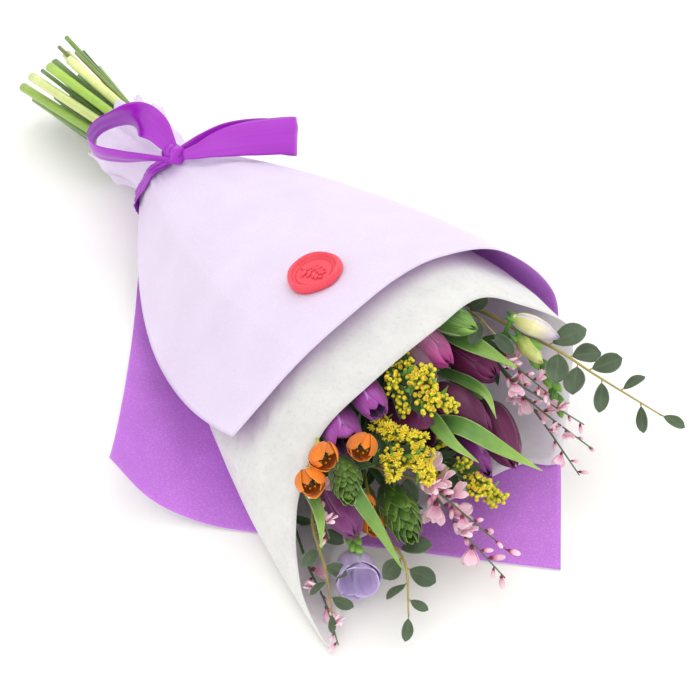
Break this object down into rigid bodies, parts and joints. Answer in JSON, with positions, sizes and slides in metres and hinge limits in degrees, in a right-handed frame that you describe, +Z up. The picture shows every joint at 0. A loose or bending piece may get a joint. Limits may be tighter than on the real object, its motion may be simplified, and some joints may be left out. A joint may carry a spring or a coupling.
{
  "type": "mixed flower bouquet",
  "caption": "Hand-tied bouquet of mixed spring flowers lying on its side in a paper wrap with a tissue liner, a satin ribbon bow and a wax seal.",
  "frame": {"origin": "on the flat underside of the paper wrap, on the surface that the bouquet lies on", "axes": "+X runs from the cut stems to the flowers, +Y to the bouquet's right, +Z up from the surface it lies on"},
  "size_m": [0.5535, 0.2827, 0.1175],
  "materials": {
    "kraft_paper": "matt two-tone kraft paper, lilac outside and purple inside",
    "tissue": "soft fibrous non-woven tissue",
    "twine": "twisted jute twine",
    "satin_ribbon": "glossy satin weave",
    "sealing_wax": "poured sealing wax, soft gloss",
    "tulip_green": "waxy green stem and leaf",
    "tulip_green_bud": "closed green petals",
    "tulip_pink": "satiny petals, green at the foot",
    "tulip_mauve": "dusky petals with a fine stripe",
    "tulip_burgundy": "dark satiny petals",
    "tulip_purple": "satiny petals",
    "star_flower": "orange petals, green buds",
    "goldenrod": "small yellow florets",
    "broom": "pink flowers on green twigs",
    "freesia_cream": "cream and green buds",
    "freesia_blue": "pale blue petals",
    "eucalyptus": "matt blue-green leaves"
  },
  "bodies": {
    "root": {"paper_wrap": "kraft_paper", "tissue_liner": "tissue", "binding_twine": "twine", "ribbon": "satin_ribbon", "wax_seal": "sealing_wax", "tulip_green_bud_stem": "tulip_green", "tulip_pink_stem": "tulip_green", "tulip_mauve_stem": "tulip_green", "tulip_upper_stem": "tulip_green", "tulip_middle_stem": "tulip_green", "tulip_right_stem": "tulip_green", "tulip_lower_stem": "tulip_green", "tulip_dark_cup_stem": "tulip_green", "tulip_left_cup_stem": "tulip_green", "tulip_left_bud_stem": "tulip_green", "tulip_low_bud_stem": "tulip_green", "tulip_green_bud_bloom": "tulip_green_bud", "tulip_pink_bloom": "tulip_pink", "tulip_mauve_bloom": "tulip_mauve", "tulip_upper_bloom": "tulip_burgundy", "tulip_middle_bloom": "tulip_burgundy", "tulip_right_bloom": "tulip_burgundy", "tulip_lower_bloom": "tulip_purple", "tulip_dark_cup_bloom": "tulip_burgundy", "tulip_left_cup_bloom": "tulip_purple", "tulip_left_bud_bloom": "tulip_purple", "tulip_low_bud_bloom": "tulip_mauve", "star_of_bethlehem_left": "star_flower", "star_of_bethlehem_lower": "star_flower", "goldenrod_top": "goldenrod", "goldenrod_left": "goldenrod", "goldenrod_middle": "goldenrod", "goldenrod_right": "goldenrod", "broom_right": "broom", "broom_lower": "broom", "broom_left": "broom", "broom_tail": "broom", "freesia_cream": "freesia_cream", "freesia_blue": "freesia_blue", "eucalyptus_right": "eucalyptus", "eucalyptus_upper": "eucalyptus", "eucalyptus_lower": "eucalyptus", "eucalyptus_left": "eucalyptus", "eucalyptus_inner": "eucalyptus"}
  },
  "joints": []
}
